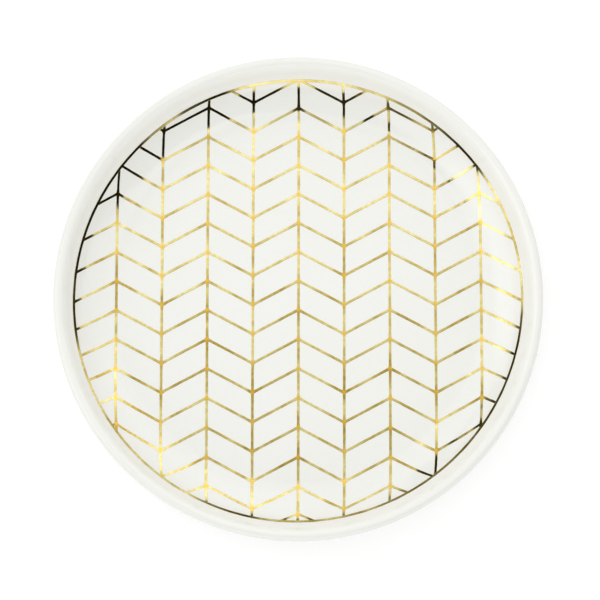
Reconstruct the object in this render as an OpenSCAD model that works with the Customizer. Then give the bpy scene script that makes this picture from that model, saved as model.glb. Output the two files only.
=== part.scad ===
// Round porcelain ring dish: a shallow glazed dish on a foot ring, with a printed gold chevron pattern
// in its well. The origin is the centre of the face that it stands on, +Z is up, and the pattern's
// upright lines run along Y. All sizes are in millimetres.

/* [Dish] */
// Outer diameter at the widest point of the rim
rim_d = 102; // [80:0.5:150]
// Depth of the well, from its flat floor to the top of the rim
well_depth = 7.5; // [6.25:0.25:14]
// Thickness of the floor
floor_t = 3.5; // [2.5:0.25:6]
// Thickness of the wall at the rounded rim
rim_w = 2.2; // [1.6:0.1:3.5]
// Radius of the wide curve that leads up from the floor of the well
floor_curve_r = 13; // [8:0.5:14]
// Radius of the tighter curve between the wide curve and the wall
wall_curve_r = 5; // [2:0.5:7]
// Slope at which the two curves meet, in degrees from level
curve_change_slope = 45; // [35:1:50]
// Slope of the well's wall, in degrees from level
well_slope = 68; // [60:1:75]
// Slope of the outer wall, in degrees from level
outer_slope = 70; // [62:1:75]
// Radius of the curve between the outer wall and the underside
outer_curve_r = 9.5; // [5:0.5:11]

/* [Foot ring] */
// Distance from the outside of the rim in to the outside of the foot ring, seen from above
foot_inset = 17; // [14:0.5:24]
// Width of the foot ring
foot_w = 3.6; // [2.5:0.1:6]
// Height of the foot ring below the underside
foot_h = 2; // [1.7:0.1:4]
// Rounding of the foot ring's lower edges
foot_edge_r = 0.7; // [0.3:0.1:1]
// Fillet between the foot ring and the underside
foot_fillet_r = 0.9; // [0.4:0.1:1.2]

/* [Glaze] */
// Thickness of the glaze
glaze_t = 0.2; // [0.1:0.05:0.4]
// Height above the table at which the glaze stops on the foot ring
glaze_line_h = 0.9; // [0.7:0.1:1.4]

/* [Gold print] */
// Thickness of the gold film
gold_t = 0.1; // [0.05:0.01:0.15]
// Bare edge between the outside of the border ring and the outside of the rim, seen from above
ring_inset = 4; // [3.5:0.05:8]
// Width of the border ring's line
ring_line_w = 0.55; // [0.3:0.05:1]
// Distance by which the print sits off the dish's centre, along X
print_shift_x = -0.1; // [-0.6:0.05:0.6]
// Distance by which the print sits off the dish's centre, along Y
print_shift_y = 0.05; // [-0.6:0.05:0.6]
// Width of the pattern's lines
line_w = 0.5; // [0.3:0.05:0.8]
// Distance between the upright lines
column_pitch = 9.6; // [6:0.05:16]
// Distance between the zigzag lines, along an upright line
row_pitch = 6.21; // [4:0.01:12]
// Rise of a zigzag line from one upright line to the next
zigzag_rise = 5.13; // [0:0.01:8]
// Place of the middle upright line along X, from the centre of the border ring
middle_line_x = 0.1; // [-1:0.05:1]
// Place of a peak of the zigzag on the middle upright line along Y, from the centre of the border ring
peak_y = -2; // [-4:0.05:4]

/* [Hidden] */
$fn = 96;

rim_r = rim_d / 2;
underside_z = foot_h;
floor_z = underside_z + floor_t;
rim_z = floor_z + well_depth;
porcelain_white = [0.95, 0.94, 0.91];
glaze_white = [0.96, 0.965, 0.945];
gold = [0.83, 0.67, 0.27];

// The rim's section is round: its centre and radius
lip_r = rim_w / 2;
lip_c = [rim_r - lip_r, rim_z - lip_r];

// The direction square to a slope, down into the body
function into_body(slope) = [sin(slope), -cos(slope)];

// The well's wall is straight. It touches the rim's round and the tighter curve, which runs on into
// the wide curve, which runs on into the flat floor
wall_top = lip_c - lip_r * into_body(well_slope);
curve_step = (floor_curve_r - wall_curve_r) * into_body(curve_change_slope);
wall_curve_z = floor_z + floor_curve_r + curve_step.y;
wall_curve_x = wall_top.x
    - (wall_curve_r - cos(well_slope) * (wall_curve_z - wall_top.y)) / sin(well_slope);
wall_curve_c = [wall_curve_x, wall_curve_z];
floor_curve_c = wall_curve_c - curve_step;
flat_r = floor_curve_c.x;

// The outer wall touches the rim's round and the curve to the underside
outer_top = lip_c + lip_r * into_body(outer_slope);
outer_curve_z = underside_z + outer_curve_r;
outer_curve_x = outer_top.x
    - (outer_curve_r + cos(outer_slope) * (outer_top.y - outer_curve_z)) / sin(outer_slope);
outer_curve_c = [outer_curve_x, outer_curve_z];

foot_out_r = rim_r - foot_inset;
foot_in_r = foot_out_r - foot_w;
foot_mid_r = foot_out_r - foot_w / 2;

// The border ring's line, seen from above
print_shift = [print_shift_x, print_shift_y];
ring_out_r = rim_r - ring_inset;
ring_in_r = ring_out_r - ring_line_w;

// A point at the given angle and distance from a centre
function polar(angle, distance) = distance * [cos(angle), sin(angle)];

// Length along the surface of the well, from its centre to where its two curves meet
curve_change_s = flat_r + floor_curve_r * curve_change_slope * PI / 180;
curve_change_r = flat_r + floor_curve_r * sin(curve_change_slope);

// The printed film follows the curve of the well, so its own lengths run along the surface:
// a point that lies s from the centre along the surface is seen from above at this radius
function seen_radius(s) =
    s <= flat_r ? s
    : s <= curve_change_s ? flat_r + floor_curve_r * sin((s - flat_r) / floor_curve_r * 180 / PI)
    : wall_curve_c.x + wall_curve_r
        * sin(min(curve_change_slope + (s - curve_change_s) / wall_curve_r * 180 / PI, 90));

// Length along the surface to a place seen from above at radius r
function surface_length(r) =
    r <= flat_r ? r
    : r <= curve_change_r ? flat_r + floor_curve_r * asin((r - flat_r) / floor_curve_r) * PI / 180
    : curve_change_s
        + wall_curve_r * (asin((r - wall_curve_c.x) / wall_curve_r) - curve_change_slope) * PI / 180;

function on_well(p) = norm(p) <= flat_r ? p : p * seen_radius(norm(p)) / norm(p);

// Steps in which a line that reaches the curve is bent to it
curve_steps = 4;
print_reach = surface_length(ring_in_r + norm(print_shift));

// A slice of a round, between two angles
module slice(centre, radius, from, to) {
    step = (to - from) / 4;
    intersection() {
        translate(centre) circle(radius);
        polygon(concat([centre], [for (k = [0:4]) centre + polar(from + k * step, 2 * radius)]));
    }
}

// The section of the hollow of the well, grown into the body by t
module well_section(t) {
    wall_foot = wall_curve_c + (wall_curve_r + t) * into_body(well_slope);
    top = lip_c - (lip_r - t) * into_body(well_slope);
    meet = floor_curve_c + (floor_curve_r + t) * into_body(curve_change_slope);
    polygon([[0, floor_z - t], [flat_r, floor_z - t], [flat_r, meet.y], meet, [meet.x, wall_foot.y],
        wall_foot, top, [0, top.y]]);
    slice(floor_curve_c, floor_curve_r + t, -90, curve_change_slope - 90);
    slice(wall_curve_c, wall_curve_r + t, -90, well_slope - 90);
}

// The section of the dish without its foot ring, made smaller by t all round
module bowl_section(t) {
    wall_foot = outer_curve_c + (outer_curve_r - t) * into_body(outer_slope);
    top = lip_c + (lip_r - t) * into_body(outer_slope);
    well_top = lip_c - (lip_r - t) * into_body(well_slope);
    difference() {
        union() {
            polygon([[0, underside_z + t], [outer_curve_x, underside_z + t], [outer_curve_x, wall_foot.y],
                wall_foot, top, lip_c, well_top, [0, well_top.y]]);
            slice(outer_curve_c, outer_curve_r - t, -90, outer_slope - 90);
            translate(lip_c) circle(lip_r - t);
        }
        well_section(t);
    }
}

// The section of the foot ring with rounded lower edges and a fillet on each side, t thinner on its sides
module foot_section(t) {
    top_z = underside_z + floor_t / 2;
    fillet_z = underside_z - foot_fillet_r;
    out_r = foot_out_r - t;
    in_r = foot_in_r + t;
    polygon([[in_r + foot_edge_r, 0], [out_r - foot_edge_r, 0], [out_r - foot_edge_r, foot_edge_r],
        [out_r, foot_edge_r], [out_r, top_z], [in_r, top_z], [in_r, foot_edge_r],
        [in_r + foot_edge_r, foot_edge_r]]);
    slice([out_r - foot_edge_r, foot_edge_r], foot_edge_r, -90, 0);
    slice([in_r + foot_edge_r, foot_edge_r], foot_edge_r, 180, 270);
    difference() {
        translate([foot_in_r - foot_fillet_r, fillet_z])
            square([foot_w + 2 * foot_fillet_r, top_z - fillet_z]);
        translate([foot_out_r + foot_fillet_r, fillet_z]) circle(foot_fillet_r + t);
        translate([foot_in_r - foot_fillet_r, fillet_z]) circle(foot_fillet_r + t);
    }
}

module dish_section(t) {
    bowl_section(t);
    foot_section(t);
}

// The section of the glaze, between the glazed surface and the body, above the glaze line
module glaze_section() {
    difference() {
        dish_section(0);
        dish_section(glaze_t);
        square([rim_r, glaze_line_h]);
    }
}

// The space under the dish out to the middle of the foot ring
module recess_zone() {
    square([foot_mid_r, underside_z + floor_t / 2]);
}

// The section of a film that lies on the surface of the well
module film_section() {
    difference() {
        well_section(0);
        well_section(-gold_t);
    }
}

// Cuts a flat pattern out of the film on the well
module film() {
    intersection() {
        rotate_extrude() film_section();
        linear_extrude(rim_z) children();
    }
}

// A printed line between two points of the print, laid on the well in the given number of steps
module printed_line(from, to, steps) {
    along = (to - from) / steps;
    side = [-along.y, along.x] / norm(along) * line_w / 2;
    polygon(concat(
        [for (k = [0:steps]) on_well(from + k * along + side)],
        [for (k = [steps:-1:0]) on_well(from + k * along - side)]
    ));
}

function column_x(column) = print_shift.x + middle_line_x + column * column_pitch;

// Where a zigzag line meets an upright line
function junction(column, row) =
    [column_x(column), print_shift.y + peak_y - row * row_pitch - (abs(column) % 2) * zigzag_rise];

// Half the length of an upright line out to the distance s from the dish's centre
function half_chord(x, s) = sqrt(max(s * s - x * x, 0));

module upright_line(column) {
    x = column_x(column);
    reach = half_chord(x, print_reach);
    flat = half_chord(x, flat_r);
    if (flat > 0) printed_line([x, -flat], [x, flat], 1);
    for (side = [-1, 1]) printed_line([x, side * flat], [x, side * reach], curve_steps);
}

module zigzag_piece(column, row) {
    from = junction(column, row);
    to = junction(column + 1, row);
    bends = max(norm(from), norm(to)) > flat_r;
    in_reach = min(norm(from), norm(to), norm(from + to) / 2) < print_reach;
    if (in_reach) printed_line(from, to, bends ? curve_steps : 1);
}

module chevron_lines() {
    columns = floor(print_reach / column_pitch);
    rows = ceil(print_reach / row_pitch);
    for (column = [-columns:columns]) upright_line(column);
    for (column = [-columns - 1:columns])
        for (row = [-rows - 1:rows])
            zigzag_piece(column, row);
}

module porcelain_body() {
    color(porcelain_white) rotate_extrude() dish_section(glaze_t);
}

module upper_glaze() {
    color(glaze_white) rotate_extrude() difference() {
        glaze_section();
        recess_zone();
    }
}

module base_glaze() {
    color(glaze_white) rotate_extrude() intersection() {
        glaze_section();
        recess_zone();
    }
}

module gold_border_ring() {
    color(gold) film() translate(print_shift) difference() {
        circle(ring_out_r);
        circle(ring_in_r);
    }
}

module gold_chevron_lattice() {
    color(gold) film() intersection() {
        chevron_lines();
        translate(print_shift) circle(ring_in_r);
    }
}

porcelain_body();
upper_glaze();
base_glaze();
gold_border_ring();
gold_chevron_lattice();
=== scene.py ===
# %% [markdown]
# # A porcelain ring dish with a gold print
#
# The dish is one thin casting of white porcelain, dipped in a clear glaze and fired. A gold pattern was
# then printed inside it and fired on at a lower heat. So there is one shape with three skins: the bare
# body, the glaze over nearly all of it, and a gold film that lies on the glaze. Nothing on the dish moves.
#
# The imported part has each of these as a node. Its sizes stand, and this script gives the dish its looks:
# smooth skins in place of the part's flat facets, the finish of each skin, and a small studio to see it in.

import math

import bpy
import numpy as np
from mathutils import Matrix, Vector


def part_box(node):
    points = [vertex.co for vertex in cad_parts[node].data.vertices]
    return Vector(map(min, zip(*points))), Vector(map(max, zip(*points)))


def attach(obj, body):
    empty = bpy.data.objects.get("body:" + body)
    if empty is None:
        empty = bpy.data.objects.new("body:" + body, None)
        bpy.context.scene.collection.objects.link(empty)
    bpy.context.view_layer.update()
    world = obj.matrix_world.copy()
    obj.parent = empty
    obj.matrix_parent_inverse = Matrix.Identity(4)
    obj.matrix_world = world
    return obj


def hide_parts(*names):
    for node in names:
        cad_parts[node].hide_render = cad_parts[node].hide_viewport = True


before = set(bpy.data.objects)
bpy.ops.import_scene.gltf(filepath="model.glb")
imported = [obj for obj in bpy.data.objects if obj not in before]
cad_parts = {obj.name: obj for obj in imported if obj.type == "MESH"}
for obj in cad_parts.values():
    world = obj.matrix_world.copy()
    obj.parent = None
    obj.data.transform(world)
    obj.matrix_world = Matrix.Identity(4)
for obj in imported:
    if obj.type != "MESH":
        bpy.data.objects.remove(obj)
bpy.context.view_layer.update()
print("nodes:", ", ".join(sorted(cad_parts)))

# %% [markdown]
# ## The section of the dish
#
# A dish like this is turned or cast from a turned model, so half of its section says everything about its
# shape. The section could be drawn by hand as a row of points, but a potter's profile is really a chain of
# rounds: a flat floor, a wide curve, a tighter curve, a steep wall, a rounded rim, and the same on the
# outside. Each round is worked out from the sizes of the part, so the chain closes by itself. The part's
# box gives the rim. Lengths are in metres and slopes in degrees.

# %% Sizes of the dish
MM = 0.001
glaze_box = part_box("upper_glaze")
rim_r = glaze_box[1].x
rim_z = glaze_box[1].z
well_depth = 7.5 * MM
floor_t = 3.5 * MM
lip_r = 1.1 * MM
floor_curve_r = 13 * MM
wall_curve_r = 5 * MM
curve_change_slope = 45
well_slope = 68
outer_slope = 70
outer_curve_r = 9.5 * MM
foot_out_r = rim_r - 17 * MM
foot_in_r = foot_out_r - 3.6 * MM
foot_edge_r = 0.7 * MM
foot_fillet_r = 0.9 * MM
glaze_t = 0.2 * MM
glaze_line_z = 0.9 * MM
floor_z = rim_z - well_depth
underside_z = floor_z - floor_t
print(f"rim {2 * rim_r / MM:.1f} mm across and {rim_z / MM:.1f} mm high")
print(f"foot {2 * foot_out_r / MM:.1f} mm across")

# %% Centres of the rounds


def into_body(slope):
    """The direction square to a slope, down into the body: (sin, -cos) of the slope in degrees."""
    return np.array([math.sin(math.radians(slope)), -math.cos(math.radians(slope))])


lip_c = np.array([rim_r - lip_r, rim_z - lip_r])
wall_top = lip_c - lip_r * into_body(well_slope)
curve_step = (floor_curve_r - wall_curve_r) * into_body(curve_change_slope)
wall_curve_z = floor_z + floor_curve_r + curve_step[1]
wall_drop = wall_curve_r + into_body(well_slope)[1] * (wall_curve_z - wall_top[1])
wall_curve_c = np.array([wall_top[0] - wall_drop / into_body(well_slope)[0], wall_curve_z])
floor_curve_c = wall_curve_c - curve_step
flat_r = floor_curve_c[0]

outer_top = lip_c + lip_r * into_body(outer_slope)
outer_curve_z = underside_z + outer_curve_r
outer_drop = outer_curve_r - into_body(outer_slope)[1] * (outer_top[1] - outer_curve_z)
outer_curve_c = np.array([outer_top[0] - outer_drop / into_body(outer_slope)[0], outer_curve_z])
curves_meet = floor_curve_c + floor_curve_r * into_body(curve_change_slope)
print(f"flat floor out to {flat_r / MM:.2f} mm, curves meet at {curves_meet / MM}")

# %% Points of the section


def arc(centre, radius, start, end, steps):
    """Points of a round: centre plus radius times (cos, sin) of angles in degrees from start to end."""
    angle = np.radians(np.linspace(start, end, steps))
    return np.asarray(centre) + radius * np.stack([np.cos(angle), np.sin(angle)], axis=1)


def straight(start, end, steps):
    """Points that part a straight line evenly, without its last one."""
    return np.linspace(start, end, steps, endpoint=False)


def glazed_section(sunk):
    """The glazed surface from the middle of the well, over the rim, to the glaze line on the foot's
    outside. With sunk above 0 it lies that far inside the body, since each round keeps its centre and
    changes radius."""
    fillet_c = (foot_out_r + foot_fillet_r, underside_z - foot_fillet_r)
    return np.concatenate([
        straight((0, floor_z - sunk), (flat_r, floor_z - sunk), 20),
        arc(floor_curve_c, floor_curve_r + sunk, -90, curve_change_slope - 90, 26)[:-1],
        arc(wall_curve_c, wall_curve_r + sunk, curve_change_slope - 90, well_slope - 90, 9),
        arc(lip_c, lip_r - sunk, well_slope + 90, outer_slope - 90, 26),
        arc(outer_curve_c, outer_curve_r - sunk, outer_slope - 90, -90, 22)[:-1],
        straight((outer_curve_c[0], underside_z + sunk), (fillet_c[0], underside_z + sunk), 6),
        arc(fillet_c, foot_fillet_r + sunk, 90, 180, 8),
        [(foot_out_r - sunk, glaze_line_z + glaze_t / 2)],
    ])


def recess_section(sunk):
    """The glazed surface inside the foot ring, from the glaze line to the middle of the underside."""
    fillet_c = (foot_in_r - foot_fillet_r, underside_z - foot_fillet_r)
    return np.concatenate([
        [(foot_in_r + sunk, glaze_line_z + glaze_t / 2)],
        arc(fillet_c, foot_fillet_r + sunk, 0, 90, 8)[:-1],
        straight((fillet_c[0], underside_z + sunk), (0, underside_z + sunk), 16),
        [(0, underside_z + sunk)],
    ])


def foot_section():
    """The bare foot between the two glaze lines: down its outside, over the resting face, up its inside."""
    out_r = foot_out_r - glaze_t
    in_r = foot_in_r + glaze_t
    return np.concatenate([
        arc((out_r - foot_edge_r, foot_edge_r), foot_edge_r, 0, -90, 8),
        straight((out_r - foot_edge_r, 0), (in_r + foot_edge_r, 0), 5)[1:],
        arc((in_r + foot_edge_r, foot_edge_r), foot_edge_r, -90, -180, 8),
    ])


print(f"section of {len(glazed_section(0))} points on the glaze and {len(foot_section())} on the bare foot")

# %% [markdown]
# ## From a section to a skin
#
# Blender's Spin and Screw tools can turn a section into a round skin, but they leave a seam and a bunch of
# points at the axis that have to be merged. Here the skin is worked out as one array: every point of the
# section is carried round the axis, and a point that lies on the axis is kept once, so the seam and both
# poles are closed.
#
# Fired porcelain is never quite round. It leans and sags a little in the kiln, so every skin goes through
# the same small warp at the end. All skins share it, and so they still fit each other.

# %% The kiln's warp
out_of_round = 0.1 * MM
shrunk = 0.04 * MM
long_axis = math.radians(126)
rim_sag = 0.12 * MM


def kiln_warp(points):
    """Moves a point out by the square of r / rim_r times a length: out_of_round times the cos of twice the
    angle from the long axis, less shrunk. Lowers it by rim_sag times z / rim_z, times the square of its way
    from the foot to the rim, times a wave of three low places, (1 - cos(3 a - 1)) / 2 at the angle a."""
    x, y, z = points.T
    share = np.hypot(x, y) / rim_r
    angle = np.arctan2(y, x)
    draw = 1 + share / rim_r * (out_of_round * np.cos(2 * (angle - long_axis)) - shrunk)
    outside_foot = np.clip((share * rim_r - foot_out_r) / (rim_r - foot_out_r), 0, 1)
    sag = rim_sag * outside_foot ** 2 * (1 - np.cos(3 * angle - 1)) / 2
    return np.stack([x * draw, y * draw, z - sag * z / rim_z], axis=1)


print(f"the kiln bends the rim by up to {out_of_round / MM} mm and lowers it by up to {rim_sag / MM} mm")

# %% A new piece


def new_piece(name, points, faces, slot, replaces):
    """Puts points and faces into a smooth mesh object that rides on the dish and stands for a CAD node."""
    mesh = bpy.data.meshes.new(name)
    mesh.from_pydata(kiln_warp(points), [], faces)
    mesh.polygons.foreach_set("use_smooth", np.ones(len(mesh.polygons), bool))
    mesh.update()
    piece = bpy.data.objects.new(name, mesh)
    bpy.context.scene.collection.objects.link(piece)
    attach(piece, "root")
    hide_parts(replaces)
    triangles = sum(len(polygon.vertices) - 2 for polygon in mesh.polygons)
    print(f"{name}: {len(points)} points, {triangles} triangles")
    return piece


# %% Turning a section
around = 360


def revolve(section):
    """Carries each (r, z) to (r cos a, r sin a, z) for every angle a. Both ends of the section lie on the
    axis, and each becomes one point with a fan of triangles. The faces that come back look outwards."""
    angle = np.linspace(0, 2 * np.pi, around, endpoint=False)
    rings = section[1:-1]
    x = rings[:, :1] * np.cos(angle)
    y = rings[:, :1] * np.sin(angle)
    z = np.repeat(rings[:, 1:], around, axis=1)
    points = np.stack([x, y, z], axis=2).reshape(-1, 3)
    poles = np.array([(0, 0, section[0, 1]), (0, 0, section[-1, 1])])
    index = np.arange(len(points)).reshape(len(rings), around)
    after = np.roll(index, -1, axis=1)
    quads = np.stack([index[:-1], index[1:], after[1:], after[:-1]], axis=2).reshape(-1, 4)
    first, last = len(points), len(points) + 1
    start = np.stack([np.full(around, first), index[0], after[0]], axis=1)
    end = np.stack([index[-1], np.full(around, last), after[-1]], axis=1)
    return np.concatenate([points, poles]), quads.tolist() + start.tolist() + end.tolist()


print(f"{around} steps round the dish, {2 * math.pi * rim_r / around / MM:.2f} mm apart at the rim")

# %% [markdown]
# ## Body and glaze
#
# The body is the casting without its glaze. Only its foot shows, because that is where the dish stood in
# the kiln and glaze would have stuck it to the shelf. The glaze is a skin of 0.2 mm that ends on both sides
# of the foot in a soft edge: melted glaze pulls back into a small roll there. The roll is a half round
# between the outer and the inner face of the skin.
#
# Melted glaze also creeps: it runs thin over the rim and gathers where the wall turns into the floor. How
# thick it ended up is stored on the points, so that the finish can colour thin and thick glaze differently.
# Over the rim the thin glaze is also painted darker than its own tone, as painted shade on the rim's top.

# %% The bare body
body_section = np.concatenate([glazed_section(glaze_t), foot_section(), recess_section(glaze_t)])
body = new_piece("porcelain_casting", *revolve(body_section), "bisque_porcelain", "porcelain_body")

# %% Glaze thickness


def glaze_depth_and_rim_shade(section):
    """How thick the glaze lies: 0.5 on a plain face, less round the middle of the rim, and more where the
    two curves of the well meet and in the fillet of the foot. The low values round the rim also paint shade
    there, darker than thin glaze alone."""
    fillet = np.array([foot_out_r + foot_fillet_r / 3, underside_z - foot_fillet_r / 3])

    def near(place, reach):
        """A bell that is 1 at the place: exp of minus the square of the distance over the reach."""
        return np.exp(-((section - place) ** 2).sum(axis=1) / reach ** 2)

    return 0.5 - 0.45 * near(lip_c, 1.5 * MM) + 0.4 * near(curves_meet, 4 * MM) + 0.3 * near(fillet, 1.5 * MM)


def store(piece, name, values):
    """Keeps one number per point of a piece, for its finish to read."""
    layer = piece.data.attributes.new(name, "FLOAT", "POINT")
    layer.data.foreach_set("value", np.asarray(values, np.float32))


def store_depth(piece, section):
    """Repeats the section's glaze depth round the dish, in the order in which revolve makes its points."""
    depth = glaze_depth_and_rim_shade(section)
    store(piece, "glaze_depth_and_rim_shade", np.concatenate([np.repeat(depth[1:-1], around), depth[[0, -1]]]))


depth_found = glaze_depth_and_rim_shade(glazed_section(0))
print(f"glaze depth {depth_found.min():.2f} on the rim and {depth_found.max():.2f} in the well's curve")

# %% The upper glaze
roll = arc((foot_out_r - glaze_t / 2, glaze_line_z + glaze_t / 2), glaze_t / 2, 0, -180, 7)[1:-1]
upper_section = np.concatenate([glazed_section(0), roll, glazed_section(glaze_t)[::-1]])
upper_glaze = new_piece("glaze_coat", *revolve(upper_section), "clear_glaze", "upper_glaze")
store_depth(upper_glaze, upper_section)

# %% The glaze under the dish
roll = arc((foot_in_r + glaze_t / 2, glaze_line_z + glaze_t / 2), glaze_t / 2, 0, -180, 7)[1:-1]
base_section = np.concatenate([recess_section(glaze_t)[::-1], roll, recess_section(0)])
base_glaze = new_piece("recess_glaze_coat", *revolve(base_section), "clear_glaze", "base_glaze")
store_depth(base_glaze, base_section)

# %% [markdown]
# ## The gold film
#
# The pattern is a transfer: it was printed flat in liquid gold, slid into the dish and smoothed up the
# curve. So its lengths run along the surface, and a straight line of the print bends with the bowl. The way
# to model that is to keep the print flat, with its real sizes, and to lay every point on the well at the
# very end.
#
# The lines meet at junctions. Nine upright lines cross rows of zigzag lines that peak on every other
# upright. Each stretch between two junctions is a strip with round ends, and every strip is computed in one
# go: the arrays below have one row per strip. The gold is a little wider at the junctions, where the wet
# lines ran together, and its edges are never quite straight.

# %% Laying the print on the well
wide_turn = math.radians(curve_change_slope)
tight_turn = math.radians(well_slope - curve_change_slope)
curve_change_s = flat_r + floor_curve_r * wide_turn


def on_well(flat, lift):
    """Lays flat points on the well and lifts them square to it. A point that is s from the centre goes to
    the place s along the section: straight, then an angle of s over the wide radius, then over the tight
    radius."""
    s = np.hypot(flat[..., 0], flat[..., 1])
    wide = np.clip((s - flat_r) / floor_curve_r, 0, wide_turn)
    slope = wide + np.clip((s - curve_change_s) / wall_curve_r, 0, tight_turn)
    r = np.minimum(s, flat_r) + floor_curve_r * np.sin(wide) + wall_curve_r * (np.sin(slope) - np.sin(wide))
    z = floor_z + floor_curve_r * (1 - np.cos(wide)) + wall_curve_r * (np.cos(wide) - np.cos(slope))
    r = r - lift * np.sin(slope)
    z = z + lift * np.cos(slope)
    return np.concatenate([flat * (r / np.maximum(s, MM / 1000))[..., None], z[..., None]], axis=-1)


def along_surface(seen_r):
    """How far along the section a place on the wide curve is that is seen_r from the axis: the flat part,
    plus the radius times the angle whose sin is the way past the flat part over the radius."""
    return flat_r + floor_curve_r * np.arcsin((seen_r - flat_r) / floor_curve_r)


print(f"the print rises from {flat_r / MM:.1f} mm on, and more steeply from {curve_change_s / MM:.1f} mm on")

# %% Sizes of the print
# Liquid gold spreads before it dries, so a line is a little wider than the 0.5 mm it was printed with. The
# border lies on the steep curve, where it drew together to 0.87 of its 0.55 mm.
film_t = 0.02 * MM
line_w = 0.565 * MM
column_pitch = 9.6 * MM
row_pitch = 6.21 * MM
zigzag_rise = 5.13 * MM
middle_line_x = 0.1 * MM
peak_y = -2 * MM
ring_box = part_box("gold_border_ring")
ring_c = np.array([(ring_box[0].x + ring_box[1].x) / 2, (ring_box[0].y + ring_box[1].y) / 2])
ring_out_r = (ring_box[1].x - ring_box[0].x) / 2
ring_in_r = ring_out_r - 0.55 * MM
ring_drawn_in = 0.87
ring_s = (along_surface(ring_out_r) + along_surface(ring_in_r)) / 2
ring_half_w = ring_drawn_in * (along_surface(ring_out_r) - along_surface(ring_in_r)) / 2
ring_oval = 0.26 * MM
ring_oval_axis = math.radians(30)
ring_spread = 0.12 * MM
ring_lean = math.tan(math.radians(2))
ring_leans_at = math.radians(249)
print(f"border ring {2 * ring_out_r / MM:.2f} mm across, off centre by {ring_c / MM} mm")

# %% Strips between junctions
columns = 4
rows = 9


def junction(column, row):
    """Where a zigzag meets an upright: even columns hold its peaks, and odd ones lie one rise lower."""
    x = middle_line_x + column * column_pitch
    y = peak_y - row * row_pitch - (np.abs(column) % 2) * zigzag_rise
    return ring_c + np.stack([x, y], axis=-1)


def grid(first, last):
    """Every pair of a column from first to last and a row of the print, as two arrays."""
    column, row = np.meshgrid(np.arange(first, last + 1), np.arange(-rows, rows + 1), indexing="ij")
    return column.ravel(), row.ravel()


up_column, up_row = grid(-columns, columns)
slant_column, slant_row = grid(-columns - 1, columns)
start = np.concatenate([junction(up_column, up_row), junction(slant_column, slant_row)])
end = np.concatenate([junction(up_column, up_row + 1), junction(slant_column + 1, slant_row)])


def ring_reach(angle):
    """How far the middle of the border ring lies from its centre: the smoothing of the transfer spread it a
    little, and more along one axis, by ring_oval times the cos of twice the angle from that axis."""
    return ring_s + ring_spread + ring_oval * np.cos(2 * (angle - ring_oval_axis))


def clip_to_ring(start, end):
    """The part of each strip inside the border ring, as shares from 0 to 1 of its length: the two roots of
    |start + share * (end - start) - centre| = reach, kept between 0 and 1. The reach depends on the angle
    of the crossing, so each root is worked out for a plain circle first and then once more."""
    along = end - start
    out = start - ring_c
    a = (along ** 2).sum(axis=1)
    b = (along * out).sum(axis=1)
    ends = []
    for side in (-1, 1):
        reach = ring_s + ring_spread
        for _ in range(2):
            inside = b ** 2 - a * ((out ** 2).sum(axis=1) - reach ** 2)
            share = (-b + side * np.sqrt(np.maximum(inside, 0))) / a
            crossing = out + along * share[:, None]
            reach = ring_reach(np.arctan2(crossing[:, 1], crossing[:, 0]))
        ends.append(np.clip(share, 0, 1))
    low, high = ends
    kept = (inside > 0) & ((high - low) * np.sqrt(a) > line_w)
    return low, high, kept


low, high, kept = clip_to_ring(start, end)
print(f"{kept.sum()} strips, {((low > 0) | (high < 1))[kept].sum()} of them cut by the ring")

# %% The shape of a strip
strip_steps = 18
cap_steps = 4
section_steps = 12
sunk_share = 0.3
wobble = np.random.default_rng(11)


def strip_edges(length, count):
    """How a printed edge strays, from -1 to 1: the mean of three sines of the length in millimetres, each
    with a rate from waves and a chance phase."""
    waves = np.array([0.9, 1.9, 3.7])
    phase = wobble.uniform(0, 2 * np.pi, (count, 1, 3))
    return np.sin(waves * length[..., None] / MM + phase).sum(axis=2) / 3


def boxy(wave):
    """A cos or sin drawn towards a square wave: its size to the power 0.2, with its own sign. A section
    that goes round by such a cos and sin has a flat top and small round corners, as a printed film has."""
    return np.sign(wave) * np.abs(wave) ** 0.2


def lay_strips(centre, across, half_w, thickness, lean=0):
    """Closed flat tubes, laid on the well. Round the section the place across the strip is the half width
    times a boxy cos, and the lift is the thickness times a boxy sin, or sunk_share of that on the side that
    sinks into the glaze. On the upper side lean adds that much lift for each step across. The arrays have
    the shape strips, steps, and then x and y where there are two."""
    turn = (np.arange(section_steps) + 0.5) * 2 * np.pi / section_steps
    upper = np.sin(turn) > 0
    aside = half_w[:, :, None] * boxy(np.cos(turn))
    flat = centre[:, :, None] + across[:, :, None] * aside[..., None]
    lift = thickness[:, :, None] * np.where(upper, 1, sunk_share) * boxy(np.sin(turn))
    return on_well(flat, lift + np.where(upper, lean * aside, 0))


def strip_faces(index, closed):
    """Quads between neighbouring steps and section points, for an index array of strips, steps, section."""
    if closed:
        index = np.concatenate([index, index[:, :1]], axis=1)
    beside = np.roll(index, -1, axis=2)
    quads = np.stack([index[:, :-1], beside[:, :-1], beside[:, 1:], index[:, 1:]], axis=3)
    return quads.reshape(-1, 4).tolist()


print(f"a strip has {strip_steps + 2 * cap_steps} steps of {section_steps} points")

# %% The round ends of a strip


def strip_places(first, last):
    """How far along its strip each step lies: evenly from its first to its last place, and beyond those by
    half the width times the sin of even angles, so that the steps crowd towards the tip."""
    cap = np.sin(np.linspace(-np.pi / 2, 0, cap_steps + 1))[:-1]
    middle = np.linspace(0, 1, strip_steps)
    return np.concatenate([
        first[:, None] + cap * line_w / 2,
        first[:, None] + middle * (last - first)[:, None],
        last[:, None] - cap[::-1] * line_w / 2,
    ], axis=1)


def half_round(place, first, last):
    """1 along the strip, and over its ends the root of 1 - (way beyond / half the width) squared."""
    beyond = np.maximum(first[:, None] - place, 0) + np.maximum(place - last[:, None], 0)
    return np.sqrt(np.maximum(1 - (beyond / (line_w / 2)) ** 2, 0))


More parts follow.
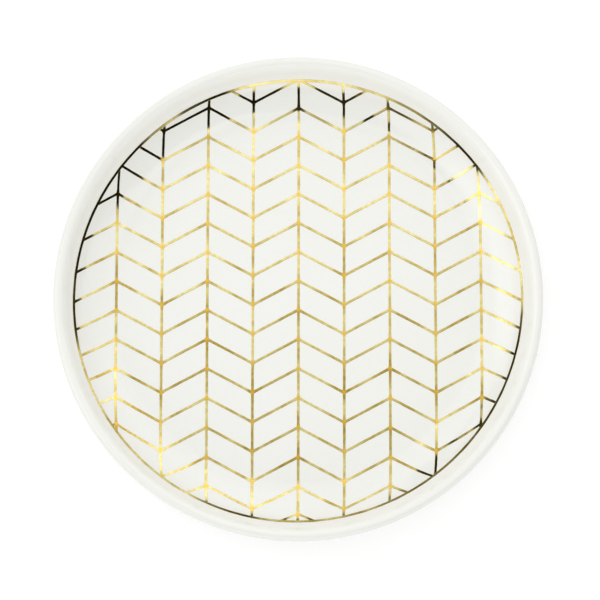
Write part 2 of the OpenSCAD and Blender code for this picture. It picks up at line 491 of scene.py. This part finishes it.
def end_fans(index, tip):
    """Fans of triangles from both tips of each strip to the section beside them."""
    beside = np.roll(index, -1, axis=2)
    first_tip = np.broadcast_to(tip[:, :1], index[:, 0].shape)
    last_tip = np.broadcast_to(tip[:, 1:], index[:, 0].shape)
    fans = np.concatenate([
        np.stack([first_tip, beside[:, 0], index[:, 0]], axis=2),
        np.stack([last_tip, index[:, -1], beside[:, -1]], axis=2),
    ])
    return fans.reshape(-1, 3).tolist()


print(f"the steps over a round end cover {line_w / 2 / MM:.2f} mm")

# %% The lattice
pool_spread = 0.3
edge_stray = 0.07
line_stray = 0.012 * MM


def lattice():
    """All strips at once. Near a junction the width grows by pool_spread times a bell that is as wide as
    the line, and the film is a quarter thicker there. The edges stray by edge_stray of the width, and the
    whole line by line_stray."""
    a, b = start[kept], end[kept]
    length = np.linalg.norm(b - a, axis=1)
    along = (b - a) / length[:, None]
    first, last = low[kept] * length, high[kept] * length
    place = strip_places(first, last)
    roundness = half_round(place, first, last)
    to_junction = np.minimum(np.abs(place), np.abs(place - length[:, None]))
    pooled = np.exp(-(to_junction / line_w) ** 2)
    half_w = line_w / 2 * roundness * (1 + pool_spread * pooled + edge_stray * strip_edges(place, len(a)))
    across = np.stack([-along[:, 1], along[:, 0]], axis=1)[:, None].repeat(place.shape[1], axis=1)
    stray = line_stray * strip_edges(place, len(a))
    centre = a[:, None] + along[:, None] * place[..., None] + across * stray[..., None]
    thickness = film_t * roundness * (0.8 + 0.2 * pooled)
    tubes = lay_strips(centre[:, 1:-1], across[:, 1:-1], half_w[:, 1:-1], thickness[:, 1:-1])
    tips = on_well(centre[:, [0, -1]], np.zeros((len(a), 2)))
    index = np.arange(tubes[..., 0].size).reshape(tubes.shape[:3])
    tip = index.size + np.arange(2 * len(a)).reshape(-1, 2)
    points = np.concatenate([tubes.reshape(-1, 3), tips.reshape(-1, 3)])
    faces = strip_faces(index, closed=False) + end_fans(index, tip)
    pooled = np.concatenate([np.repeat(pooled[:, 1:-1], section_steps), pooled[:, [0, -1]].ravel()])
    return points, faces, pooled


points, faces, pooled = lattice()
gold_lattice = new_piece("gold_chevron_print", points, faces, "bright_gold", "gold_chevron_lattice")
store(gold_lattice, "pooled", pooled)

# %% The border ring
ring_steps = 1200
ring_stray = 0.03 * MM
ring_edge_stray = 0.08
lean_reach = 12
lean_fade = 4


def border_ring():
    """One strip that closes on itself: its middle is the oval of ring_reach, with a slow wobble, and its
    width strays by the same waves, turned by 200 steps. The film lies flatter than the glaze by ring_lean
    for lean_reach degrees on both sides of ring_leans_at, fading over the last lean_fade of them."""
    angle = np.linspace(0, 2 * np.pi, ring_steps, endpoint=False)
    outwards = np.stack([np.cos(angle), np.sin(angle)], axis=1)[None]
    waves = np.array([3, 5, 11, 47, 83])
    phase = wobble.uniform(0, 2 * np.pi, waves.size)
    stray = np.sin(waves * angle[:, None] + phase).sum(axis=1)[None] / waves.size
    centre = ring_c + outwards * (ring_reach(angle) + ring_stray * stray)[..., None]
    half_w = ring_half_w * (1 + ring_edge_stray * np.roll(stray, 200, axis=1))
    from_lean = np.degrees(np.abs(angle - ring_leans_at))
    lean = ring_lean * np.clip((lean_reach - from_lean) / lean_fade, 0, 1)
    thickness = np.full((1, ring_steps), film_t)
    ring = lay_strips(centre, -outwards, half_w, thickness, lean[None, :, None])
    index = np.arange(ring[..., 0].size).reshape(ring.shape[:3])
    return ring.reshape(-1, 3), strip_faces(index, closed=True)


gold_ring = new_piece("gold_border_line", *border_ring(), "bright_gold", "gold_border_ring")

# %% [markdown]
# ## Finishes
#
# Every finish is worked out from real sizes. Object coordinates are metres here, so one Mapping node turns
# them into millimetres, and a noise that should have lumps of 2 mm gets a scale of a half. Colours are
# written as they would look in a photograph, in sRGB hex, and one function turns them into the linear light
# that a shader needs. One small function adds a node with its settings and its links.
#
# A finish is then built from four kinds of node: a noise says where, a Map Range says how much, a Mix lays
# one colour over another by that amount, and a Bump turns a height into a tilt of the surface.

# %% Helpers for nodes
# A Mix node has a set of sockets for each kind of data. These are the places of its colour ones.
SHARE, UNDER, OVER, MIXED = 0, 6, 7, 2


def linear(hex_colour):
    """sRGB hex to linear light: c / 12.92 up to 0.04045, and ((c + 0.055) / 1.055) ** 2.4 above that."""
    c = np.array([int(hex_colour[i:i + 2], 16) for i in (1, 3, 5)]) / 255
    return (*np.where(c <= 0.04045, c / 12.92, ((c + 0.055) / 1.055) ** 2.4).tolist(), 1)


def fill(tree, node, inputs):
    """Fills sockets of a node, each with a number, an sRGB hex colour or another node's output."""
    for socket, value in inputs.items():
        if isinstance(value, bpy.types.NodeSocket):
            tree.links.new(value, node.inputs[socket])
        else:
            node.inputs[socket].default_value = linear(value) if isinstance(value, str) else value


def add_node(tree, kind, output, inputs, **settings):
    """Adds a node with its own settings, fills its sockets and returns the output that is asked for."""
    node = tree.nodes.new("ShaderNode" + kind)
    for name, value in settings.items():
        setattr(node, name, value)
    fill(tree, node, inputs)
    return node.outputs[output]


def new_finish(name):
    """A new material, its nodes, its Principled shader and the place on the dish in millimetres."""
    material = bpy.data.materials.new(name)
    material.use_nodes = True
    tree = material.node_tree
    metres = add_node(tree, "TexCoord", "Object", {})
    place = add_node(tree, "Mapping", "Vector", {"Vector": metres, "Scale": (1 / MM,) * 3})
    return material, tree, tree.nodes["Principled BSDF"], place


print("a mid grey #808080 is", round(linear("#808080")[0], 3), "in linear light")

# %% [markdown]
# ### Clear glaze on white porcelain
#
# The glaze is a glass, dipped and fired at about 1250 °C. It could be a real glass skin over the body, but
# at 0.2 mm thick what the eye gets is a white that turns greyer and warmer over the rim, where the glaze
# ran thin, and a little warmer where it gathered, under one hard gloss. The grey over the rim is partly
# painted shade, darker than thin glaze alone, to take down the light on the rim's top. So the finish is an
# opaque white with those tones and an IOR of 1.5. Two things break the gloss: the orange peel of a dipped
# glaze, which is lumps of about 2 mm a few micrometres high, and the slow unevenness of the casting under
# it. A few tiny specks show where iron dust burnt out.

# %% The glaze's finish
# Sizes of patterns are in millimetres, and heights of bumps in metres.
cloud_size = 22
speck_cell = 6
smear_size = 7
peel_size = 2.1
peel_height = 0.004 * MM
casting_bump = {"Distance": 0.03 * MM}
casting_lumps = {"Scale": 1 / 14, "Detail": 1}


def glaze_finish():
    """Tones by the glaze depth, with painted shade on the rim, faint clouds, specks in a seventh of their
    cells, smears and two bumps.
    """
    material, tree, shader, place = new_finish("clear_glaze_on_porcelain")
    noise = {"Vector": place, "Detail": 2, "Roughness": 0.55}
    depth = add_node(tree, "Attribute", "Fac", {}, attribute_name="glaze_depth_and_rim_shade")
    cover_and_rim_shade = add_node(tree, "MapRange", "Result", {"Value": depth, "From Min": 0.05, "From Max": 0.45})
    # Painted shade: the grey of thin glaze on the rim is darker than the glaze alone, for the rim's lit top.
    tone = add_node(tree, "Mix", MIXED, {SHARE: cover_and_rim_shade, UNDER: "#E7E5DD", OVER: "#F2F3EE"}, data_type="RGBA")
    gathered = add_node(tree, "MapRange", "Result", {"Value": depth, "From Min": 0.5, "From Max": 0.95})
    tone = add_node(tree, "Mix", MIXED, {SHARE: gathered, UNDER: tone, OVER: "#EDECE6"}, data_type="RGBA")
    clouds = add_node(tree, "TexNoise", "Fac", noise | {"Scale": 1 / cloud_size})
    cloudy = {"Value": clouds, "From Min": 0.3, "From Max": 0.7, "To Max": 0.35}
    cloudy = add_node(tree, "MapRange", "Result", cloudy)
    tone = add_node(tree, "Mix", MIXED, {SHARE: cloudy, UNDER: tone, OVER: "#EEEFE8"}, data_type="RGBA")

    to_middle = add_node(tree, "TexVoronoi", "Distance", {"Vector": place, "Scale": 1 / speck_cell})
    cell_colour = to_middle.node.outputs["Color"]
    chance = add_node(tree, "SeparateColor", "Red", {"Color": cell_colour})
    dot = {"Value": to_middle, "From Min": 0.012, "From Max": 0.026, "To Min": 1, "To Max": 0}
    dot = add_node(tree, "MapRange", "Result", dot)
    rare = {"Value": chance, "From Min": 0.86, "From Max": 0.9, "To Max": 0.5}
    rare = add_node(tree, "MapRange", "Result", rare)
    speck = add_node(tree, "Math", 0, {0: dot, 1: rare}, operation="MULTIPLY")
    tone = add_node(tree, "Mix", MIXED, {SHARE: speck, UNDER: tone, OVER: "#A39C8C"}, data_type="RGBA")

    smears = add_node(tree, "TexNoise", "Fac", noise | {"Scale": 1 / smear_size})
    gloss = {"Value": smears, "From Min": 0.3, "From Max": 0.7, "To Min": 0.05, "To Max": 0.1}
    gloss = add_node(tree, "MapRange", "Result", gloss)
    uneven = add_node(tree, "TexNoise", "Fac", noise | casting_lumps)
    casting = add_node(tree, "Bump", "Normal", {"Height": uneven} | casting_bump)
    peel = add_node(tree, "TexNoise", "Fac", noise | {"Scale": 1 / peel_size, "Detail": 1})
    skin = add_node(tree, "Bump", "Normal", {"Height": peel, "Distance": peel_height, "Normal": casting})
    fill(tree, shader, {"Base Color": tone, "Roughness": gloss, "IOR": 1.5, "Normal": skin})
    return material


glaze = glaze_finish()
print(f"{glaze.name}: {len(glaze.node_tree.nodes)} nodes")

# %% [markdown]
# ### Fired bright gold
#
# Bright gold is a resinate of gold that is printed as a dark liquid and burns away to a mirror film less
# than a micrometre thick. It copies the gloss of the glaze under it, so it is a metal with a low roughness.
# The eye sees it darken to black where it mirrors something dark, so the studio matters as much as the
# finish. The film is uneven: in patches of about 6 mm it goes from a brownish to a pale gold, with a mottle
# of 1 mm over them. It is painted paler towards the peaks' side of the dish, a painted reflection of
# brighter light on that side, and deeper and more orange where the wet gold pooled at the junctions.

# %% The gold's finish
patch_size = 6
mottle_size = 0.9
grain_size = 0.8
grain_height = 0.004 * MM


def gold_finish():
    """A metal that goes from dark to pale by patches, then paler with y from -10 to 38 mm, a painted
    reflection, then deeper with the stored pooling. Its casting bump is the glaze's own, so both mirror with
    the same waves."""
    material, tree, shader, place = new_finish("fired_bright_gold")
    noise = {"Vector": place, "Roughness": 0.55}
    mottle = add_node(tree, "TexNoise", "Fac", noise | {"Scale": 1 / mottle_size, "Detail": 3})
    patches = add_node(tree, "TexNoise", "Fac", noise | {"Scale": 1 / patch_size, "Detail": 1})
    mottled = add_node(tree, "MapRange", "Result", {"Value": mottle, "From Min": 0.35, "From Max": 0.65})
    patchy = add_node(tree, "MapRange", "Result", {"Value": patches, "From Min": 0.36, "From Max": 0.62})
    dark = add_node(tree, "Mix", MIXED, {SHARE: mottled, UNDER: "#A28D43", OVER: "#C0A855"}, data_type="RGBA")
    pale = add_node(tree, "Mix", MIXED, {SHARE: mottled, UNDER: "#D6C474", OVER: "#E7DCA2"}, data_type="RGBA")
    tone = add_node(tree, "Mix", MIXED, {SHARE: patchy, UNDER: dark, OVER: pale}, data_type="RGBA")
    y = add_node(tree, "SeparateXYZ", "Y", {"Vector": place})
    # Painted reflection: the gold is paler towards +y, as if that side mirrored brighter light.
    painted_sheen_towards_peaks = {"Value": y, "From Min": -10, "From Max": 38, "To Max": 0.35}
    pooled = add_node(tree, "Attribute", "Fac", {}, attribute_name="pooled")
    at_junctions = {"Value": pooled, "From Min": 0.2, "From Max": 0.9, "To Max": 0.7}
    for share, over in ((painted_sheen_towards_peaks, "#E6DA9C"), (at_junctions, "#EBBC44")):
        share = add_node(tree, "MapRange", "Result", share)
        tone = add_node(tree, "Mix", MIXED, {SHARE: share, UNDER: tone, OVER: over}, data_type="RGBA")

    gloss = {"Value": mottle, "From Min": 0.3, "From Max": 0.7, "To Min": 0.12, "To Max": 0.06}
    gloss = add_node(tree, "MapRange", "Result", gloss)
    uneven = add_node(tree, "TexNoise", "Fac", noise | casting_lumps)
    casting = add_node(tree, "Bump", "Normal", {"Height": uneven} | casting_bump)
    grain = add_node(tree, "TexNoise", "Fac", noise | {"Scale": 1 / grain_size, "Detail": 2})
    skin = add_node(tree, "Bump", "Normal", {"Height": grain, "Distance": grain_height, "Normal": casting})
    fill(tree, shader, {"Base Color": tone, "Metallic": 1, "Roughness": gloss, "Normal": skin})
    return material


gold = gold_finish()
print(f"{gold.name}: {len(gold.node_tree.nodes)} nodes")

# %% [markdown]
# ### Bare porcelain
#
# Unglazed porcelain is called bisque. It is white, quite matt and feels like fine sandpaper, with grains of
# a tenth of a millimetre, drawn here at 0.3 mm so that they show. The foot ring was sponged clean before
# firing and rubs on whatever it stands on, so its lowest edge is a little greyer.

# %% The bare foot's finish
grit_size = 0.3
grit_height = 0.03 * MM
wear_size = 3


def bisque_finish():
    """Two whites by the grit, and over them patches of a grey that grows from 0.45 to 0.05 mm in height."""
    material, tree, shader, place = new_finish("unglazed_porcelain")
    noise = {"Vector": place, "Detail": 3, "Roughness": 0.55}
    grain = add_node(tree, "TexNoise", "Fac", noise | {"Scale": 1 / grit_size})
    grainy = add_node(tree, "MapRange", "Result", {"Value": grain, "From Min": 0.3, "From Max": 0.7})
    tone = add_node(tree, "Mix", MIXED, {SHARE: grainy, UNDER: "#E6E1D6", OVER: "#F1EDE4"}, data_type="RGBA")
    height = add_node(tree, "SeparateXYZ", "Z", {"Vector": place})
    low = {"Value": height, "From Min": 0.05, "From Max": 0.45, "To Min": 1, "To Max": 0}
    low = add_node(tree, "MapRange", "Result", low)
    patches = add_node(tree, "TexNoise", "Fac", noise | {"Scale": 1 / wear_size})
    patchy = {"Value": patches, "From Min": 0.35, "From Max": 0.65, "To Min": 0.1, "To Max": 0.6}
    patchy = add_node(tree, "MapRange", "Result", patchy)
    rubbed = add_node(tree, "Math", 0, {0: low, 1: patchy}, operation="MULTIPLY")
    tone = add_node(tree, "Mix", MIXED, {SHARE: rubbed, UNDER: tone, OVER: "#BFB8AA"}, data_type="RGBA")
    grit = add_node(tree, "Bump", "Normal", {"Height": grain, "Distance": grit_height})
    fill(tree, shader, {"Base Color": tone, "Roughness": 0.85, "Normal": grit})
    return material


bisque = bisque_finish()
print(f"{bisque.name}: {len(bisque.node_tree.nodes)} nodes")

# %% Give each piece its finish
finishes = [
    (body, bisque),
    (upper_glaze, glaze),
    (base_glaze, glaze),
    (gold_lattice, gold),
    (gold_ring, gold),
]
for piece, finish in finishes:
    piece.data.materials.append(finish)
    print(f"{piece.name} is finished in {finish.name}")

# %% [markdown]
# ## The studio
#
# The dish lies on a pale table under soft light that comes mostly from the upper left. A white thing on a
# white ground is only told by its shades, so the lamps stay level: with the sky they add up to about 1 on
# the floor of the well, and a colour renders about as it is written.
#
# Gold shows the room and not itself. Real dishes are shot in a tent of white cloth with an opening for the
# camera, and the opening and the dark room behind it are what turns parts of the print black. So here a
# tent stands over the dish that only glossy rays see. Its brightness is a number on each of its points:
# about 1 on plain cloth, more where a lamp stands behind it, and nearly 0 in the openings. Three white
# cards stand in two of the openings, as a photographer sets them, and keep the print golden when the dish
# is seen from the side.

# %% Table


def stage_mesh(name, points, faces, material):
    """A mesh of the studio, which is no part of the dish."""
    mesh = bpy.data.meshes.new(name)
    mesh.from_pydata(points, [], faces)
    mesh.materials.append(material)
    thing = bpy.data.objects.new(name, mesh)
    bpy.context.scene.collection.objects.link(thing)
    return thing


def table_finish():
    """Pale grey paper that also glows for the camera and in mirrors. So it is white there, still takes the
    shadow of the dish, and throws less light at the outside of the wall than white paper would."""
    material = bpy.data.materials.new("white_table")
    material.use_nodes = True
    tree = material.node_tree
    paper = add_node(tree, "BsdfDiffuse", "BSDF", {"Color": "#C8C8C8"})
    camera_ray = add_node(tree, "LightPath", "Is Camera Ray", {})
    glossy_ray = camera_ray.node.outputs["Is Glossy Ray"]
    seen = add_node(tree, "Math", 0, {0: camera_ray, 1: glossy_ray}, operation="MAXIMUM")
    glow = add_node(tree, "MapRange", "Result", {"Value": seen, "To Max": 0.52})
    lit = add_node(tree, "Emission", "Emission", {"Strength": glow})
    fill(tree, tree.nodes["Material Output"], {"Surface": add_node(tree, "AddShader", 0, {0: paper, 1: lit})})
    return material


half_table = 4.0
corners = half_table * np.array([(-1, -1, 0), (1, -1, 0), (1, 1, 0), (-1, 1, 0)])
table = stage_mesh("table", corners, [(0, 1, 2, 3)], table_finish())
print(f"table {2 * half_table:.0f} m wide")

# %% Openings, cards and lamps of the tent
# Each patch of the tent: azimuth, half width, elevation, half height in degrees, and brightness.
openings = [
    (252, 12, 58, 22, 0.02),
    (245, 6, 32, 5, 0.06),
    (271, 13, 57, 22, 0.02),
    (286, 5, 54, 20, 0.01),
    (298, 9, 44, 28, 0.01),
    (304, 5, 66, 6, 0.01),
    (320, 20, 38.7, 28, 0.01),
    (303, 4, 18.5, 3.5, 0.14),
    (343, 7, 30, 24, 0.01),
    (356, 8, 16, 15, 0.02),
    (4, 8, 13, 13, 0.02),
    (13, 9, 9, 9, 0.06),
    (78, 9, 2, 5, 0.05),
    (99, 10, 1, 3.5, 0.75),
    (95, 17, 7.5, 2.2, 0.05),
    (113, 5, 10, 8, 0.45),
    (114, 6, 2, 5, 0.35),
    (128, 11, 17, 21, 0.04),
    (143, 6, 16, 17, 0.04),
    (127, 9, 3, 4.5, 0.35),
    (143, 6, 4, 4.5, 0.12),
    (156, 8, 9, 11, 0.05),
    (164, 4, 7, 8, 0.12),
    (193, 9, 75.5, 4.5, 0.02),
    (203, 5, 70.5, 4, 0.03),
    (214, 9, 9, 10.5, 0.03),
    (225, 5, 21, 9, 0.2),
    (235, 5, 31, 8, 0.12),
    (234, 5, 18, 5, 0.6),
    (235, 6, 71.5, 12, 0.03),
    (224, 6, 69, 7.5, 0.03),
]
cards = [
    (135, 7, 25, 6, 0.85),
    (313.3, 5.8, 14.5, 5, 0.85),
    (310.5, 3.5, 19.5, 3.5, 0.9),
]
lamps_behind = [
    (62, 32, 40, 26, 1.55),
    (182, 28, 44, 18, 2.0),
    (276, 22, 24, 13, 1.4),
    (190, 16, 13, 8, 1.35),
]
# The cloth itself, by elevation: a brighter band high up, and a dimmer top where it is gathered.
cloth_elevation = [0, 70, 76.5, 81, 85, 90]
cloth_glow = [1, 1.1, 1.35, 0.96, 0.8, 0.8]
print(f"{len(openings)} openings, {len(cards)} cards and {len(lamps_behind)} lamps behind the cloth")

# %% Tent
# The radius is in metres, and the step between points and the soft edges are in degrees.
tent_r = 3.0
tent_step = 1.5
opening_edge = 3
lamp_edge = 14


def window(azimuth, elevation, patch, soft):
    """1 inside a patch of the tent and 0 outside, with an edge that fades over soft degrees."""
    centre, half_width, height, half_height, _ = patch
    aside = np.abs((azimuth - centre + 180) % 360 - 180)
    across = np.clip((half_width - aside) / soft + 0.5, 0, 1)
    upright = np.clip((half_height - np.abs(elevation - height)) / soft + 0.5, 0, 1)
    return across * upright


def tent():
    """A half dome, tent_r times (cos e cos a, cos e sin a, sin e), with its brightness on its points. A
    lamp adds to the cloth's own brightness, and an opening or a card takes its place."""
    steps = np.arange(0, 360, tent_step), np.arange(0, 90 + tent_step / 2, tent_step)
    azimuth, elevation = np.meshgrid(*steps, indexing="ij")
    a, e = np.radians(azimuth), np.radians(elevation)
    points = tent_r * np.stack([np.cos(e) * np.cos(a), np.cos(e) * np.sin(a), np.sin(e)], axis=2)
    glow = np.interp(elevation, cloth_elevation, cloth_glow)
    for patch in lamps_behind:
        glow += (patch[-1] - 1) * window(azimuth, elevation, patch, lamp_edge)
    for patch in openings + cards:
        glow += (patch[-1] - glow) * window(azimuth, elevation, patch, opening_edge)
    index = np.arange(glow.size).reshape(glow.shape)
    after = np.roll(index, -1, axis=0)
    faces = np.stack([index[:, :-1], index[:, 1:], after[:, 1:], after[:, :-1]], axis=2).reshape(-1, 4)
    return points.reshape(-1, 3), faces.tolist(), glow.ravel()


def tent_finish():
    """Cloth that glows by the number on its points. It is no lamp of its own: only mirrors find it."""
    material = bpy.data.materials.new("tent_cloth")
    material.use_nodes = True
    tree = material.node_tree
    glow = add_node(tree, "Attribute", "Fac", {}, attribute_name="glow")
    lit = add_node(tree, "Emission", "Emission", {"Strength": glow})
    fill(tree, tree.nodes["Material Output"], {"Surface": lit})
    material.cycles.emission_sampling = "NONE"
    return material


points, faces, glow = tent()
cloth = stage_mesh("tent", points, faces, tent_finish())
store(cloth, "glow", glow)
for kind in ("camera", "diffuse", "shadow", "transmission", "volume_scatter"):
    setattr(cloth, f"visible_{kind}", False)
print(f"tent {tent_r} m in radius, brightness {glow.min():.2f} to {glow.max():.2f}")

# %% [markdown]
# ### Light on the dish
#
# The tent is only for mirrors, so the light comes from a sky and three large soft lamps. The sky is
# brighter towards the horizon, as in a tent whose side walls are lit: that keeps the steep wall of the dish
# as light as its floor. It is also a little brighter on the upper left, where the photograph's light comes
# from. Sun lamps or small lamps would give hard shadows, which the photograph doesn't have.

# %% Sky
sky_above = 0.78
sky_round = 1.6
sky_bright_side = math.radians(140)
sky_fall = 0.05


def sky():
    """White where the camera sees it. As light it is sky_above overhead and grows to sky_round at the
    horizon, by the direction's height from 0.5 to 0.05, and is brighter by sky_fall on its bright side."""
    world = bpy.data.worlds.new("studio_sky")
    world.use_nodes = True
    tree = world.node_tree
    direction = add_node(tree, "TexCoord", "Generated", {})
    height = add_node(tree, "SeparateXYZ", "Z", {"Vector": direction})
    light = {"Value": height, "From Min": 0.05, "From Max": 0.5, "To Min": sky_round, "To Max": sky_above}
    light = add_node(tree, "MapRange", "Result", light)
    lit_from = (math.cos(sky_bright_side), math.sin(sky_bright_side), 0)
    side = add_node(tree, "VectorMath", "Value", {0: direction, 1: lit_from}, operation="DOT_PRODUCT")
    fall = {"Value": side, "From Min": -1, "From Max": 1, "To Min": 1 - sky_fall, "To Max": 1 + sky_fall}
    fall = add_node(tree, "MapRange", "Result", fall)
    light = add_node(tree, "Math", 0, {0: light, 1: fall}, operation="MULTIPLY")
    seen = add_node(tree, "LightPath", "Is Camera Ray", {})
    strength = add_node(tree, "MapRange", "Result", {"Value": seen, "To Min": light, "To Max": 1})
    fill(tree, tree.nodes["Background"], {"Color": "#FFFFFF", "Strength": strength})
    bpy.context.scene.world = world


sky()
print(f"sky {sky_above} overhead and {sky_round} at the horizon")

# %% Lamps


def softbox(name, azimuth, elevation, size, share, distance=1.2):
    """A square lamp that faces the dish and adds share to a flat face there. A lamp of P watts gives such a
    face P sin(elevation) / (pi distance) squared, so the power is worked back from the share."""
    a, e = math.radians(azimuth), math.radians(elevation)
    place = distance * Vector((math.cos(e) * math.cos(a), math.cos(e) * math.sin(a), math.sin(e)))
    lamp = bpy.data.lights.new(name, "AREA")
    lamp.size = size
    lamp.energy = share * (math.pi * distance) ** 2 / math.sin(e)
    thing = bpy.data.objects.new(name, lamp)
    thing.matrix_world = Matrix.Translation(place) @ place.to_track_quat("Z", "Y").to_matrix().to_4x4()
    thing.visible_glossy = False
    bpy.context.scene.collection.objects.link(thing)
    print(f"{name}: {lamp.energy:.1f} W for a share of {share}")


softbox("key_softbox", azimuth=150, elevation=40, size=0.9, share=0.05)
softbox("far_softbox", azimuth=85, elevation=40, size=1.2, share=0.08)
softbox("near_softbox", azimuth=262, elevation=40, size=1.2, share=0.09)

# %% [markdown]
# ## The camera
#
# The photograph looks almost straight down. Its viewpoint was worked out from the pattern: the rows shrink
# a little towards the top, and the curve hides more of the wall on the near side, which gives the tilt and
# the distance. A Blender camera without any turn looks straight down with +Y up, so the view is that camera
# tilted by two small angles, and moved back from the middle of the well along its own axis.

# %% Camera
view_distance = 544.2 * MM
aside = Vector((0.325 * MM, 0.137 * MM, view_distance))
tilt = Vector((0.165, 0.022, 0))
turn = Matrix.Rotation(tilt.length, 3, tilt.normalized())
lens = bpy.data.cameras.new("camera")
lens.sensor_width = 36
lens.lens = 155.3
camera = bpy.data.objects.new("camera", lens)
camera.matrix_world = Matrix.Translation(Vector((0, 0, floor_z)) + turn @ aside) @ turn.to_4x4()
bpy.context.scene.collection.objects.link(camera)
bpy.context.scene.camera = camera
bpy.context.scene.view_settings.view_transform = "Standard"
away = camera.matrix_world.translation.length
print(f"camera {away:.3f} m away, {math.degrees(tilt.length):.1f} degrees off upright")
